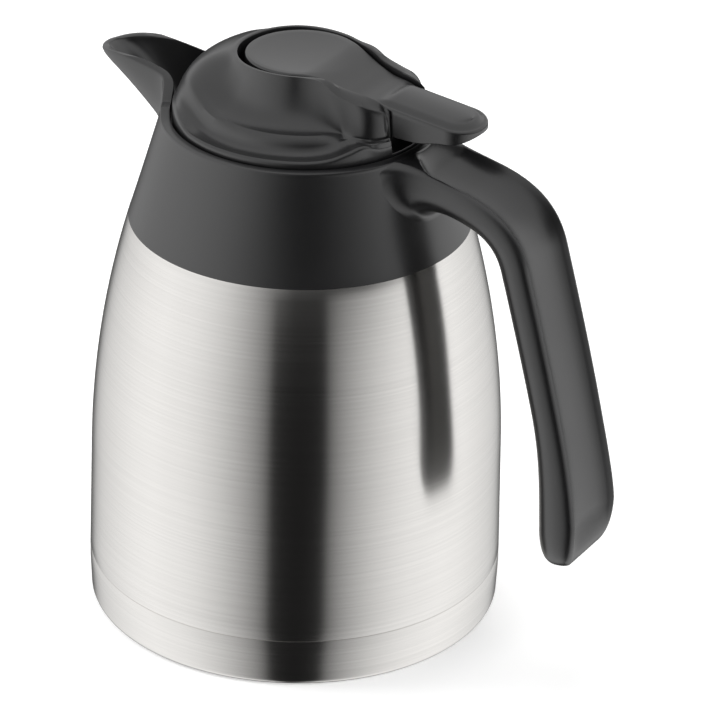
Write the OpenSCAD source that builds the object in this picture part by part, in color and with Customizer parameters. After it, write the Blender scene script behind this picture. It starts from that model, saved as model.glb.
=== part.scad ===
// Thermal carafe: a double-walled steel flask under a moulded shoulder with spout and handle,
// closed by a twist-off lid whose rocking thumb lever lifts a sprung pouring valve.
// Origin: centre of the base, on the table. +X runs towards the handle, -X towards the spout.

/* [Flask] */
// Outer radius of the steel body at the base seam
body_r = 69.1; // [66:0.1:72]
// Height of the welded base cup
base_h = 17; // [14:0.5:20]
// Height where the straight lower wall ends and the taper begins
taper_z = 57; // [52:1:62]
// Radius of the long arc that tapers the upper wall
taper_r = 307; // [300:1:320]
// Narrowing of the lower wall for each millimetre of height
wall_draft = 0.018; // [0.014:0.001:0.022]
// Radius of the rolled edge round the base
foot_round = 2.4; // [2:0.1:3]
// Thickness of the steel sheet
steel_t = 0.8; // [0.6:0.1:1]
// Vacuum gap between the two walls
vacuum_gap = 3.8; // [3.4:0.1:4.4]
// Height of the liner's floor above the table
liner_floor_z = 9; // [8.6:0.1:10]
// Inner radius of the flask's neck
neck_r = 29.7; // [28:0.1:31]
// Height of the neck's lip
neck_z = 156; // [155:0.5:157]
// Height of the recess under the base
base_recess = 3; // [2:0.5:4]
// Radius of the recess under the base
recess_r = 58; // [54:1:60]
// Radius of the evacuation hole's cover
seal_cap_r = 11; // [8:0.5:14]
// Thickness of the evacuation hole's cover
seal_cap_t = 1.2; // [0.8:0.1:1.6]
// Thickness of the radiation foil round the liner
foil_t = 0.3; // [0.2:0.05:0.4]
// Radius of the getter pill
getter_r = 7; // [5:0.5:10]
// Height of the getter pill
getter_h = 3.2; // [2:0.2:3.6]

/* [Shoulder] */
// Height of the shoulder's lower edge
shoulder_z = 138; // [136:0.5:140]
// Height of the mouth's rim
rim_z = 173.2; // [172:0.1:175]
// Outer radius of the mouth's rim
rim_r = 45.7; // [45.3:0.1:46.5]
// Inner radius of the mouth
mouth_r = 42.5; // [42.2:0.1:43]
// Wall of the shoulder moulding
shoulder_t = 2.5; // [2:0.1:3]
// Thickness of the shoulder's floor
floor_t = 2.4; // [2:0.1:3]
// Thickness of the gasket on the neck
gasket_t = 1.6; // [1.2:0.1:2]

/* [Handle] */
// Distance from the axis to the outermost point of the handle
handle_reach = 114; // [110:0.2:118]
// Height of the handle's crest where it leaves the mouth
handle_top_z = 170; // [169:0.2:171]
// Distance of the bend from the axis
bend_x = 91.8; // [88:0.2:94]
// Height of the bend
bend_z = 145.3; // [142:0.5:148]
// Height where the rounded foot of the grip starts
foot_z = 60; // [54:0.5:66]
// Length of the rounded foot
foot_len = 16.5; // [14:0.5:19]
// Width of the handle
handle_w = 25.4; // [23:0.2:28]
// Thickness of the handle along the grip
handle_t = 14.4; // [13:0.2:15.6]
// Thickness of the handle at the foot
handle_foot_t = 18.8; // [17:0.2:20]
// Depth of the trough along the back of the handle
trough_d = 5.2; // [3.6:0.2:6.4]
// Width of each edge beside the trough
trough_edge = 1.7; // [1.4:0.1:2.4]
// How much each side of the handle flares out where it joins the rim
handle_flare = 6; // [4:0.5:8]

/* [Spout] */
// Distance from the axis to the tip of the spout
spout_reach = 75.6; // [73:0.2:79]
// Height of the spout's rim at its highest
spout_top_z = 183.2; // [182:0.2:185]
// Height of the spout's rim beside the mouth
spout_root_z = 178.3; // [177:0.1:179.5]
// Height of the underside at the tip
spout_lip_z = 180; // [178.6:0.2:181]
// Half width of the spout along its middle
spout_w = 11.3; // [10.4:0.1:12.4]
// Height where the underside meets the shoulder
keel_z = 153; // [151:0.5:155]
// Wall of the spout
spout_t = 1.9; // [1.6:0.1:2.2]

/* [Stopper] */
// Inner radius of the throat ring that the stopper screws into
throat_r = 27.5; // [27:0.1:28]
// Height of the throat ring's lower end
throat_z = 139.5; // [138:0.5:141]
// Width of the throat ring's flange
throat_flange = 9.5; // [8:0.5:11]
// Thickness of the throat ring's flange
throat_flange_t = 1.6; // [1.2:0.1:2]
// Outer radius of the stopper's tube
stopper_r = 26.6; // [26:0.1:26.8]
// Wall of the stopper's tube
stopper_t = 2; // [1.6:0.1:2.4]
// Height of the stopper's lower end
stopper_z = 140; // [139:0.5:141]
// Thickness of the valve seat plate
seat_t = 2.5; // [2:0.1:3]
// Radius of the hole in the valve seat
seat_hole_r = 12; // [10:0.5:14]
// Number of pouring windows round the stopper
window_count = 6; // [4:1:8]
// Width of each pouring window
window_w = 16; // [10:0.5:18]
// Height of the pouring windows
window_h = 6.5; // [5:0.5:7.5]
// Thickness of the stopper's deck under the lid cover
deck_t = 1.6; // [1.4:0.1:2]
// Gap between the deck and the ledge in the mouth
deck_gap = 0.3; // [0.2:0.05:0.5]
// Height of the silicone seal at the stopper's foot
seal_h = 3; // [2:0.2:4]

/* [Valve] */
// Radius of the valve stem
stem_r = 2.5; // [2:0.1:3]
// Running clearance round the stem
stem_fit = 0.08; // [0.05:0.01:0.1]
// Radius of the valve head
valve_r = 16; // [15:0.5:18]
// Thickness of the valve head
valve_t = 3; // [2.5:0.1:4]
// Thickness of the silicone washer under the valve head
washer_t = 1.5; // [1.2:0.1:2]
// Radius of the wire of the valve spring
wire_r = 0.5; // [0.4:0.05:0.6]
// Mean radius of the valve spring
spring_r = 7; // [6.5:0.1:8]
// Number of turns of the valve spring
spring_turns = 6; // [4:1:8]
// Radius of the cross pin in the stem's head
cross_pin_r = 1.2; // [1:0.05:1.4]
// Length of the cross pin
cross_pin_len = 12; // [11:0.5:14]
// Height of the cross pin's axis
cross_pin_z = 187; // [186.6:0.1:187.6]

/* [Lid cover] */
// Outer radius of the cover's edge
cover_r = 41.9; // [41.5:0.1:42.1]
// Height of the crest round the cover's edge
edge_z = 175.4; // [175:0.1:176.5]
// Height of the ledge below each finger scoop
ledge_z = 180; // [179:0.2:181]
// Radius of the ledge below each finger scoop
ledge_r = 32; // [31:0.2:33]
// Height of the ridge round the lever's disc
ridge_z = 195.2; // [194.6:0.1:195.6]
// Radius where the front of the dome meets the edge
brow_r = 40.6; // [40:0.1:41]
// Height where the front of the dome meets the edge
brow_z = 179; // [178:0.2:180]
// Distance from the axis to the rear end of the two lobes
lobe_x = 39.5; // [38:0.1:40.5]
// Wall of the cover
cover_t = 2.2; // [1.8:0.1:2.6]
// Height of the floor of the lever's well
well_z = 177.4; // [177:0.1:178]

/* [Lever] */
// Radius of the disc at the front of the lever
disc_r = 18.7; // [17.5:0.1:19.5]
// Height of the top of the disc
disc_z = 195.2; // [194.6:0.1:196]
// Thickness of the disc
disc_t = 3.8; // [3.2:0.1:4.4]
// Half width of the lever's tail
tail_hw = 10.3; // [9.5:0.1:11]
// Distance from the axis to the end of the tail
tail_x = 66.5; // [64:0.1:70]
// Height of the top of the tail at its end
tail_z = 185.7; // [185:0.1:186.6]
// Height of the lower edge of the tail
skirt_z = 180.8; // [180.2:0.1:181.4]
// Crown of the tail across its width
tail_crown = 1; // [0.6:0.1:1.4]
// Width of the groove in front of the disc
groove_front = 2.3; // [2:0.1:2.8]
// Gap beside the tail
groove_side = 0.8; // [0.6:0.1:1]
// Distance from the axis to the lever's pin
pivot_x = 27; // [26:0.2:28]
// Height of the lever's pin
pivot_z = 186; // [185.4:0.1:186.6]
// Radius of the lever's pin
pivot_r = 1.5; // [1.3:0.05:1.8]
// Length of the lever's pin
pivot_len = 29; // [27:0.5:30]
// Running clearance round the lever's pin
pivot_fit = 0.06; // [0.03:0.01:0.1]

/* [Hidden] */
steel = "#c9cacc";
dark_steel = "#8f9194";
black = "#2b2b2d";
soft_black = "#3a3a3d";
white = "#e8e6e0";
wire = "#b8babd";
$fn = 96;

// Heights that follow from the sizes above.
liner_r_less = steel_t + vacuum_gap;
shoulder_step = 1;
shoulder_seat = 1.6;
floor_flat = 6;
neck_outer_r = neck_r + 2 * steel_t;
gasket_z = neck_z + steel_t;
floor_z = gasket_z + gasket_t;
channel_z = floor_z + floor_t;
throat_top_z = channel_z + throat_flange_t;
deck_z = rim_z - 3.2;
ledge_top_z = deck_z - deck_gap;
cover_z = deck_z + deck_t;
seat_top_z = stopper_z + seat_t;
washer_z = seat_top_z;
valve_z = washer_z + washer_t;
spring_low_z = valve_z + valve_t;
spring_high_z = deck_z;
boss_r = stem_r + 3;
boss_top_z = cover_z + 2.2;
fit_gap = 0.02;
small_gap = 0.3;
eps = 0.01;

// ---- shapes shared by several pieces ----

function lerp(a, b, t) = a + (b - a) * t;
function ease(t) = let (u = max(0, min(1, t))) u * u * (3 - 2 * u);
function bezier(p, t) =
    p[0] * pow(1 - t, 3) + p[1] * 3 * t * pow(1 - t, 2) + p[2] * 3 * t * t * (1 - t) + p[3] * pow(t, 3);
// Half of a curve that starts with a slope and ends level.
function settle(x, x0, y0, slope, x1, y1) =
    let (t = (x - x0) / (x1 - x0))
    y0 * (1 + 2 * t) * pow(1 - t, 2) + y1 * t * t * (3 - 2 * t) + (x1 - x0) * slope * t * pow(1 - t, 2);

// Radius of the flask's outside at a height: a drafted wall, then a long tangent arc.
function body_radius(z) = z < taper_z ? body_r - (z - base_h) * wall_draft
    : body_r - (taper_z - base_h) * wall_draft - (z - taper_z) * wall_draft
        - taper_r + sqrt(pow(taper_r, 2) - pow(z - taper_z, 2));
// Radius of the shoulder's outside between its lower edge and the rim.
function shoulder_radius(z) =
    lerp(body_radius(shoulder_z), rim_r, pow((z - shoulder_z) / (rim_z - shoulder_z), 0.97));

wall_heights = [for (i = [0 : 14]) lerp(taper_z, shoulder_z, i / 14)];
shoulder_heights = [for (i = [0 : 8]) lerp(shoulder_z, rim_z - 1.2, i / 8)];

// Closed skin over rows of points; every row has the same number of points, either way round.
function middle(row) = [for (k = [0 : 2]) (min([for (p = row) p[k]]) + max([for (p = row) p[k]])) / 2];
function turning(row, c, j = 0) = j == len(row) ? [0, 0, 0]
    : cross(row[j] - c, row[(j + 1) % len(row)] - c) + turning(row, c, j + 1);
module skin(rows) {
    n = len(rows[0]);
    m = len(rows);
    half = floor(m / 2);
    ahead = middle(rows[half]) - middle(rows[half - 1]);
    outwards = turning(rows[half], middle(rows[half])) * ahead > 0;
    points = concat([for (row = rows) each row], [middle(rows[0]), middle(rows[m - 1])]);
    sides = [for (i = [0 : m - 2], j = [0 : n - 1]) let (k = (j + 1) % n)
        each [[i * n + j, i * n + k, (i + 1) * n + k], [i * n + j, (i + 1) * n + k, (i + 1) * n + j]]];
    caps = [for (j = [0 : n - 1]) let (k = (j + 1) % n)
        each [[m * n, k, j], [m * n + 1, (m - 1) * n + j, (m - 1) * n + k]]];
    polyhedron(points, [for (f = concat(sides, caps)) outwards ? [f[2], f[1], f[0]] : f], convexity = 10);
}

// ---- flask ----

module outer_shell() {
    fold_r = body_radius(shoulder_z) - shoulder_seat - small_gap;
    outside = concat([[body_r, base_h]], [for (z = wall_heights) [body_radius(z), z]], [[fold_r, shoulder_z]]);
    tuck_r = shoulder_radius(shoulder_z + shoulder_step) - shoulder_t - small_gap;
    tuck_z = lerp(shoulder_z, neck_z, 0.56);
    tuck_top = shoulder_radius(tuck_z) - shoulder_t - 2 * small_gap;
    upper = [[tuck_r, shoulder_z + shoulder_step], [tuck_top, tuck_z],
        [tuck_top - 3, lerp(tuck_z, neck_z, 0.4)], [neck_outer_r + 5, neck_z - 2.6], [neck_outer_r, neck_z - 1.6],
        [neck_outer_r, neck_z]];
    line = concat(outside, upper);
    inner = [for (p = line) [p[0] - steel_t, p[1]]];
    n = len(line);
    // The folded parts are lowered a little inside, so the sheet keeps its thickness.
    drop = [for (i = [0 : n - 1]) i == n - 8 || i == n - 7 ? steel_t : i == n - 6 ? steel_t * 0.3
        : i >= n - 4 && i < n - 1 ? steel_t : 0];
    low = [for (i = [n - 1 : -1 : 0]) [inner[i][0] - (i == n - 4 ? 0.2 : 0), inner[i][1] - drop[i]]];
    color(steel) rotate_extrude() polygon(concat(line, low));
}

module base_cup() {
    color(steel) difference() {
        rotate_extrude() polygon(concat(
            [[0, base_recess], [recess_r - 3, base_recess], [recess_r, 0]],
            [for (a = [-90 : 15 : 0])
                [body_r - 0.4 - foot_round + foot_round * cos(a), foot_round + foot_round * sin(a)]],
            [[body_r, base_h - 3], [body_r, base_h - 0.4], [body_r - 0.25, base_h],
                [body_r - steel_t, base_h], [body_r - steel_t, base_h - 3]],
            [for (a = [0 : -15 : -90])
                [body_r - 0.4 - foot_round + (foot_round - steel_t) * cos(a),
                    foot_round + (foot_round - steel_t) * sin(a)]],
            [[recess_r + 0.4, steel_t], [recess_r - 2.6, base_recess + steel_t],
                [0, base_recess + steel_t]]));
        translate([0, 0, base_recess - eps]) cylinder(r = 1.5, h = steel_t + 2 * eps);
    }
}

// Height and radius pairs up one face of the liner, inset from the outside of the body.
function liner_line(inset, lift) = concat(
    [[body_r - inset - 9, liner_floor_z + lift], [body_r - inset - 3, liner_floor_z + 2 + lift],
        [body_r - inset, liner_floor_z + 8]],
    [for (z = wall_heights) [body_radius(z) - inset, z]]);

module inner_liner() {
    inset = liner_r_less;
    shoulder_r = body_radius(shoulder_z) - inset;
    // Height between the end of the tapered wall and the neck's lip
    bend = function (t) lerp(shoulder_z, neck_z, t);
    outer = concat([[0, liner_floor_z + 1.4], [floor_flat, liner_floor_z + 1.4]], liner_line(inset, 0),
        [[shoulder_r - 2.6, bend(0.3)], [shoulder_r - 8, bend(0.5)], [neck_r + steel_t + 4, bend(0.61)],
            [neck_r + steel_t, bend(0.69)], [neck_r + steel_t, neck_z], [neck_outer_r, neck_z],
            [neck_outer_r, neck_z + steel_t], [neck_r, neck_z + steel_t]]);
    inner = concat(
        [[neck_r, bend(0.69) - steel_t], [neck_r + 4, bend(0.61) - steel_t],
            [shoulder_r - 8.2, bend(0.5) - steel_t], [shoulder_r - 3.5, bend(0.27)]],
        [for (i = [len(wall_heights) - 1 : -1 : 0])
            [body_radius(wall_heights[i]) - inset - steel_t, wall_heights[i]]],
        [[body_r - inset - steel_t, liner_floor_z + 8], [body_r - inset - 3.6, liner_floor_z + 2 + steel_t],
            [body_r - inset - 9.2, liner_floor_z + steel_t], [floor_flat, liner_floor_z + 1.4 + steel_t],
            [0, liner_floor_z + 1.4 + steel_t]]);
    color(steel) rotate_extrude() polygon(concat(outer, inner));
}

module radiation_foil() {
    lap = 0.25;
    heights = [for (i = [0 : 10]) lerp(liner_floor_z + 10, shoulder_z - 8, i / 10)];
    near = [for (z = heights) [body_radius(z) - liner_r_less + lap, z]];
    far = [for (i = [len(near) - 1 : -1 : 0]) [near[i][0] + foil_t, near[i][1]]];
    color(wire) rotate_extrude() polygon(concat(near, far));
}

module getter() {
    color(dark_steel) translate([0, 0, base_recess + steel_t]) difference() {
        cylinder(r = getter_r, h = getter_h);
        translate([0, 0, -eps]) cylinder(r = getter_r - 3, h = getter_h + 2 * eps);
    }
}

module seal_cap() {
    color(dark_steel) translate([0, 0, base_recess - seal_cap_t]) rotate_extrude()
        polygon([[0, 0], [seal_cap_r - 0.6, 0], [seal_cap_r, 0.5], [seal_cap_r, seal_cap_t], [0, seal_cap_t]]);
}

module neck_gasket() {
    color(white) translate([0, 0, gasket_z]) difference() {
        cylinder(r = neck_outer_r + 1.6, h = gasket_t);
        translate([0, 0, -eps]) cylinder(r = neck_r + 0.2, h = gasket_t + 2 * eps);
    }
}

// ---- shoulder, spout and handle, one moulding ----

module shoulder_ring() {
    outside = [for (z = shoulder_heights) [shoulder_radius(z), z]];
    hollow_z = floor_z;
    rotate_extrude() polygon(concat(
        [[shoulder_radius(shoulder_z) - shoulder_seat, shoulder_z]], outside,
        [[rim_r - 0.7, rim_z - 0.25], [rim_r - 1.5, rim_z], [mouth_r + 0.4, rim_z],
            [mouth_r, rim_z - 0.5], [mouth_r, ledge_top_z], [mouth_r - 2, ledge_top_z],
            [mouth_r - 2, channel_z + 3], [mouth_r - 5, channel_z],
            [neck_r - 0.2, channel_z], [neck_r - 0.2, hollow_z],
            [shoulder_radius(hollow_z) - shoulder_t - 2, hollow_z],
            [shoulder_radius(hollow_z - 3) - shoulder_t, hollow_z - 3],
            [shoulder_radius(shoulder_z + shoulder_step) - shoulder_t, shoulder_z + shoulder_step]]));
}

// Spout stations run from inside the mouth (0) to the tip (1).
function spout_root(t) = pow(max(0, 1 - t / 0.2), 2);
function spout_width(t) = (spout_w + 2.4 * pow(1 - t, 4) + 3.8 * spout_root(t)) * sqrt(max(0.006, 1 - pow(t, 5)));
function spout_rim(t) = [-lerp(mouth_r - 4, spout_reach - 0.8, t),
    lerp(spout_root_z, spout_top_z, 1 - pow(1 - t / 0.65, 2)) - 3.5 * spout_root(t)];
spout_under = [[4 - mouth_r, keel_z - 3], [-50, keel_z + 2.5], [-60, keel_z + 19], [-spout_reach, spout_lip_z]];
function spout_keel(t) = bezier(spout_under, t);
// One cross-section, from rim to rim round the keel; a wall shrinks it and raises its open side.
function spout_row(t, wall) = let (rim = spout_rim(t), keel = spout_keel(t), w = spout_width(t) - wall)
    [for (a = [0 : 15 : 180]) let (
            open = wall > 0 && (a == 0 || a == 180),
            s = open ? -0.25 : pow(sin(a), 0.8),
            low = [keel[0] + wall * 0.7, keel[1] + wall * 1.3])
        [lerp(rim[0], low[0], s), w * cos(a), lerp(rim[1], low[1], s)]];

spout_steps = [0, 0.06, 0.12, 0.2, 0.3, 0.4, 0.5, 0.6, 0.7, 0.78, 0.85, 0.91, 0.96, 1];
channel_steps = [-0.04, 0.03, 0.09, 0.16, 0.25, 0.35, 0.45, 0.55, 0.65, 0.74, 0.815, 0.88, 0.935, 0.975];

module spout_solid() {
    skin([for (t = spout_steps) spout_row(t, 0)]);
}

module spout_channel() {
    skin([for (t = channel_steps) spout_row(t, spout_t)]);
}

outer_top = [[mouth_r - 2, handle_top_z], [handle_reach - 43.2, handle_top_z],
    [bend_x - 5, bend_z + 19.2], [bend_x, bend_z]];
outer_grip = [[bend_x, bend_z], [bend_x + 7, bend_z - 22.3], [handle_reach - 0.7, foot_z + 18],
    [handle_reach, foot_z]];

// Stations of the handle: crest point, direction, thickness and half width.
function crest_point(s) = s < 0.4 ? bezier(outer_top, s / 0.4) : bezier(outer_grip, min(1, (s - 0.4) / 0.6));
function crest_dir(s) = let (d = crest_point(min(s + 0.004, 1)) - crest_point(max(s - 0.004, 0))) d / norm(d);
function handle_depth(s) = lerp(handle_t, handle_foot_t, ease((s - 0.7) / 0.3));
function handle_half(s) = handle_w / 2 + handle_flare * pow(max(0, 1 - s / 0.2), 2);

// Cross-section of the handle: half width, thickness and trough depth give a U with rounded edges.
function handle_section(w, t, d) = let (e = trough_edge, half = [
        [0, t], [w * 0.45, t - 0.3], [w * 0.72, t - 1.3], [w * 0.9, t - 3.2], [w, t * 0.5],
        [w, 2], [w - 0.4, 0.6], [w - e * 0.5, 0], [w - e, 0.5], [w - e - 1.4, d * 0.62],
        [w * 0.5, d * 0.93], [0, d]])
    concat([for (p = half) [p[0], p[1]]], [for (i = [len(half) - 2 : -1 : 1]) [-half[i][0], half[i][1]]]);

function handle_row(p, dir, w, t, d) =
    [for (q = handle_section(w, t, d)) [p[0] + q[1] * dir[1], q[0], p[1] - q[1] * dir[0]]];

grip_steps = [for (i = [0 : 22]) i / 22];
foot_steps = [15, 35, 55, 72, 84];

module handle_beam() {
    grip = [for (s = grip_steps) let (d = trough_d * ease((s - 0.06) / 0.12) * ease((1.12 - s) / 0.2))
        handle_row(crest_point(s), crest_dir(s), handle_half(s), handle_depth(s), max(d, 0.2))];
    foot = [for (a = foot_steps) let (c = cos(a), t = handle_foot_t * lerp(0.14, 1, c))
        handle_row([handle_reach - (handle_foot_t - t) / 2, foot_z - foot_len * sin(a)],
            crest_dir(1), handle_w / 2 * pow(c, 0.8), t,
            max(0.1, trough_d * 0.4 * pow(c, 2) * (a < 60 ? 1 : 0)))];
    skin(concat(grip, foot));
}

module shoulder() {
    color(black) difference() {
        union() {
            shoulder_ring();
            difference() {
                union() {
                    spout_solid();
                    handle_beam();
                }
                // Nothing of the spout or the handle stands inside the shoulder's own wall.
                rotate_extrude() polygon([[0, shoulder_z - 5],
                    [shoulder_radius(shoulder_z) - shoulder_t / 2, shoulder_z - 5],
                    [shoulder_radius(shoulder_z) - shoulder_t / 2, shoulder_z],
                    [rim_r - shoulder_t / 2, rim_z], [mouth_r + 0.5, rim_z], [mouth_r + 0.5, rim_z + 20],
                    [0, rim_z + 20]]);
            }
        }
        intersection() {
            spout_channel();
            translate([0, 0, channel_z]) cylinder(r = 90, h = 60);
        }
    }
}

module throat_ring() {
    tube_r = neck_r - small_gap - 0.1;
    color(soft_black) rotate_extrude() polygon([[throat_r, throat_z], [tube_r, throat_z],
        [tube_r, channel_z], [throat_r + throat_flange - 0.6, channel_z],
        [throat_r + throat_flange, channel_z + 0.5], [throat_r + throat_flange - 0.6, throat_top_z],
        [throat_r, throat_top_z]]);
}

// ---- lid ----

module stopper() {
    groove_r = stopper_r - 1.4;
    window_z = throat_top_z + 0.8;
    color(soft_black) difference() {
        union() {
            difference() {
                cylinder_at(stopper_r, stopper_z, deck_z + eps);
                cylinder_at(stopper_r - stopper_t, seat_top_z, deck_z + 2 * eps);
                // Seat hole and the groove that holds the seal
                cylinder_at(seat_hole_r, stopper_z - eps, seat_top_z + eps);
                difference() {
                    cylinder_at(stopper_r + 1, stopper_z + 0.6, stopper_z + 0.6 + seal_h + 0.2);
                    cylinder_at(groove_r, stopper_z, stopper_z + seal_h + 2);
                }
                for (i = [0 : window_count - 1])
                    rotate(i * 360 / window_count)
                        translate([0, -window_w / 2, window_z]) cube([stopper_r + 2, window_w, window_h]);
            }
            cylinder_at(cover_r - 0.2, deck_z, cover_z);
            cylinder_at(boss_r, deck_z - 4, boss_top_z);
        }
        cylinder_at(stem_r + stem_fit, deck_z - 5, boss_top_z + eps);
        cylinder_at(stem_r + 1.5, cover_z + 0.4, boss_top_z + eps);
    }
}

module cylinder_at(r, z0, z1) {
    translate([0, 0, z0]) cylinder(r = r, h = z1 - z0);
}

module stopper_seal() {
    color(white) rotate_extrude() translate([0, stopper_z + 0.7]) polygon([
        [stopper_r - 1.3, 0], [stopper_r + 0.2, 0], [throat_r - small_gap, seal_h * 0.4],
        [throat_r - small_gap, seal_h * 0.6], [stopper_r + 0.2, seal_h], [stopper_r - 1.3, seal_h]]);
}

// Half width of the lever's outline at a distance x along it, grown by off.
neck_angle = 65;
tail_start = 36;
function lever_half(x, off) = let (r = disc_r + off, x0 = r * cos(neck_angle))
    x < x0 ? sqrt(max(0, r * r - x * x))
    : x < tail_start ? settle(x, x0, r * sin(neck_angle), -cos(neck_angle) / sin(neck_angle), tail_start,
        tail_hw + off)
    : tail_hw + off;
// Gap between lever and cover, wide in front of the disc and narrow beside the tail.
function groove(x) = lerp(groove_front, groove_side, ease((x + 16) / 20));
// Distance of the ridge's crest from the lever's outline, growing into the lobes.
function ridge_off(x) = groove(x) + lerp(1.1, 5.2, ease((x - 8) / 22));
// Outline of the cover's upper part, closed behind the lobes by a rounded end.
lobe_round = 6.5;
function upper_half(x) = let (c = lobe_x - lobe_round)
    lever_half(x, ridge_off(x)) * (x < c ? 1 : sqrt(max(0, 1 - pow((x - c) / lobe_round, 2))));
// Radius of that outline in a direction, found by halving.
function upper_r(a, lo = 5, hi = 60, n = 16) = n == 0 ? (lo + hi) / 2
    : let (m = (lo + hi) / 2) m * sin(a) > upper_half(m * cos(a)) ? upper_r(a, lo, m, n - 1)
    : upper_r(a, m, hi, n - 1);
// Height of the ridge: level round the disc, then falling along the lobes.
function ridge_height(x) = ridge_z - 2.6 * ease((x - 12) / 10) - 0.17 * max(0, x - 20)
    - 2.2 * pow(max(0, (x - 31) / (lobe_x - 31)), 2);

// Profile of the cover in one direction, from the ridge down to the edge. a is 0 at the handle.
function cover_profile(a, inset) = let (
        front = ease((a - 100) / 50),
        r0 = upper_r(max(0.5, min(179.5, a))),
        z0 = ridge_height(r0 * cos(a)),
        rear = ease((r0 - 29) / 9),
        r1 = lerp(max(ledge_r, min(r0 + 2.2, cover_r - 1.4)), brow_r, front),
        z1 = lerp(lerp(ledge_z, ledge_z - 1, rear), brow_z, front),
        bulge = 2.5 * front,
        wall = [for (u = [0 : 0.2 : 1]) [
            lerp(lerp(r0, r1, 1 - cos(90 * u)), lerp(r0, r1, u) + bulge * sin(180 * pow(u, 0.85)), front),
            lerp(lerp(z0, z1, sin(90 * u)), lerp(z0, z1, u) + bulge * sin(180 * pow(u, 0.85)), front)]],
        rt = min(r1 + 2.2, cover_r - 0.9),
        lower = [
            [lerp(rt - 0.6, brow_r + 0.5, front), lerp(lerp(ledge_z - 2.6, ledge_z - 1.6, rear), brow_z - 0.8, front)],
            [lerp(rt, brow_r + 0.9, front), lerp(lerp(edge_z - 0.4, edge_z + 2.4, rear), brow_z - 1.8, front)],
            [cover_r - 0.9, lerp(lerp(edge_z, edge_z + 2, rear), brow_z - 2.4, front)],
            [cover_r, lerp(edge_z - 0.9, brow_z - 4, front)]])
    [for (p = concat(wall, lower)) [p[0] - inset, p[1] - inset]];

module cover_skin(inset) {
    step = 5;
    base = cover_z - (inset > 0 ? 1 : 0);
    draft = inset > 0 ? 0.12 : 0;
    profiles = [for (a = [0 : step : 360 - step]) cover_profile(a > 180 ? 360 - a : a, inset)];
    n = len(profiles[0]);
    at = function (i, r, z) [r * cos(i * step), r * sin(i * step), z];
    rows = concat(
        [[for (i = [0 : len(profiles) - 1]) at(i, cover_r - inset + draft, base)]],
        [for (k = [n - 1 : -1 : 0]) [for (i = [0 : len(profiles) - 1]) at(i, profiles[i][k][0], profiles[i][k][1])]]);
    m = len(rows);
    cols = len(rows[0]);
    points = concat([for (row = rows) each row], [[0, 0, ridge_z - inset - 1]]);
    sides = [for (i = [0 : m - 2], j = [0 : cols - 1]) let (k = (j + 1) % cols)
        each [[i * cols + j, (i + 1) * cols + k, i * cols + k], [i * cols + j, (i + 1) * cols + j, (i + 1) * cols + k]]];
    bottom = [for (j = [0 : cols - 1]) j];
    top = [for (j = [0 : cols - 1]) [m * cols, (m - 1) * cols + (j + 1) % cols, (m - 1) * cols + j]];
    polyhedron(points, concat(sides, [bottom], top), convexity = 10);
}

// Plan outline of the well: the lever's outline with its groove, running out between the lobes.
well_steps = [for (i = [0 : 30]) i];
function well_outline(off) = let (
        x0 = -disc_r - groove_front - off,
        xs = [for (i = well_steps) i < 12 ? x0 * cos(i * 7.7) : lerp(0, 60, (i - 12) / 18)],
        side = [for (x = xs) [x, lever_half(max(x, x0), groove(x) + off)]])
    concat(side, [for (i = [len(side) - 1 : -1 : 1]) [side[i][0], -side[i][1]]]);

module lid_cover() {
    gate_x = 33;
    gate_w = tail_hw + groove_side - 0.1;
    color(black) difference() {
        cover_skin(0);
        // Hollow underside, with a wall left round the lever's well
        difference() {
            cover_skin(cover_t);
            translate([0, 0, well_z - cover_t]) linear_extrude(40) polygon(well_outline(cover_t));
            translate([gate_x - cover_t, -gate_w - cover_t, cover_z - 2]) cube([20, 2 * (gate_w + cover_t), 20]);
        }
        // The lever's well, which is deeper where it runs out between the lobes
        translate([0, 0, well_z]) linear_extrude(40) polygon(well_outline(0));
        translate([gate_x, -gate_w, cover_z + cover_t]) cube([20, 2 * gate_w, 20]);
        cylinder_at(boss_r + 0.5, cover_z - 1, boss_top_z + 0.5);
        cylinder_at(stem_r + 2, cover_z - 1, well_z + 1);
        // Blind bores for the lever's pin
        translate([pivot_x, 0, pivot_z]) rotate([90, 0, 0])
            cylinder(r = pivot_r + fit_gap, h = pivot_len + 0.4, center = true);
    }
}

// ---- valve ----

module valve_head() {
    color(soft_black) difference() {
        rotate_extrude() polygon([[0, valve_z], [valve_r - 0.6, valve_z], [valve_r, valve_z + 0.8],
            [valve_r, valve_z + 1.8], [valve_r - 0.8, valve_z + valve_t], [0, valve_z + valve_t]]);
        cylinder_at(stem_r + fit_gap, valve_z - eps, valve_z + valve_t + eps);
    }
}

module valve_washer() {
    color(white) difference() {
        cylinder_at(valve_r - 1, washer_z, valve_z);
        cylinder_at(stem_r + fit_gap, washer_z - eps, valve_z + eps);
    }
}

module valve_stem() {
    stop_z = cross_pin_z + cross_pin_r + 1.4;
    color(wire) difference() {
        union() {
            cylinder_at(stem_r, washer_z - washer_t, stop_z);
            // Head that carries the valve from below
            cylinder_at(2 * stem_r, washer_z - washer_t, washer_z);
        }
        translate([0, 0, cross_pin_z]) rotate([90, 0, 0])
            cylinder(r = cross_pin_r + fit_gap, h = 4 * stem_r, center = true);
    }
}

module valve_spring() {
    facets = 6;
    per_turn = 16;
    low = spring_low_z + wire_r;
    high = spring_high_z - wire_r;
    rows = [for (i = [0 : spring_turns * per_turn]) let (t = i / per_turn, a = 360 * t,
            z = lerp(low, high, i / (spring_turns * per_turn)))
        [for (j = [0 : facets - 1]) let (b = -360 * j / facets, r = spring_r + wire_r * cos(b))
            [r * cos(a), r * sin(a), z + wire_r * sin(b)]]];
    color(wire) skin(rows);
}

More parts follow.
